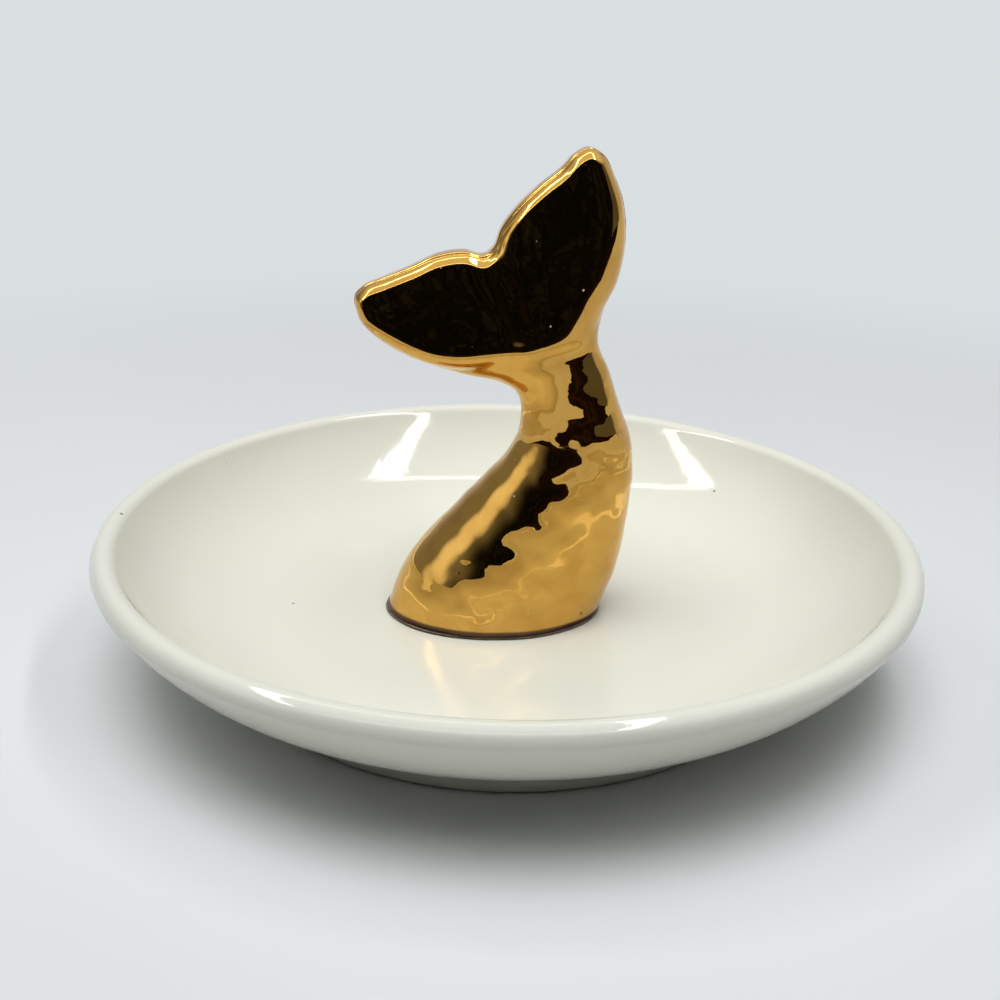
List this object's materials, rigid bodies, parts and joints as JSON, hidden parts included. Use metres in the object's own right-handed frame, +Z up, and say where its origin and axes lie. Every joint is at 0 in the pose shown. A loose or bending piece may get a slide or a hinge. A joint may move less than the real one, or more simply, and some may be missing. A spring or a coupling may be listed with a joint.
{
  "type": "ring dish",
  "caption": "Shallow round glazed dish on a foot ring, with an upright whale's tail bonded in the middle to hang finger rings on.",
  "frame": {"origin": "middle of the foot ring, on the plane that the dish stands on", "axes": "+Z up along the dish's axis, X along the flat of the tail with the stem leaning to +X, -Y towards the picture's camera, which the tail leans to a little"},
  "size_m": [0.11, 0.11, 0.0703],
  "materials": {
    "white_glaze": "gloss",
    "gold_lustre": "gloss",
    "clear_adhesive": "gloss"
  },
  "bodies": {
    "root": {"dish": "white_glaze", "tail": "gold_lustre", "adhesive_bed": "clear_adhesive"}
  },
  "joints": []
}
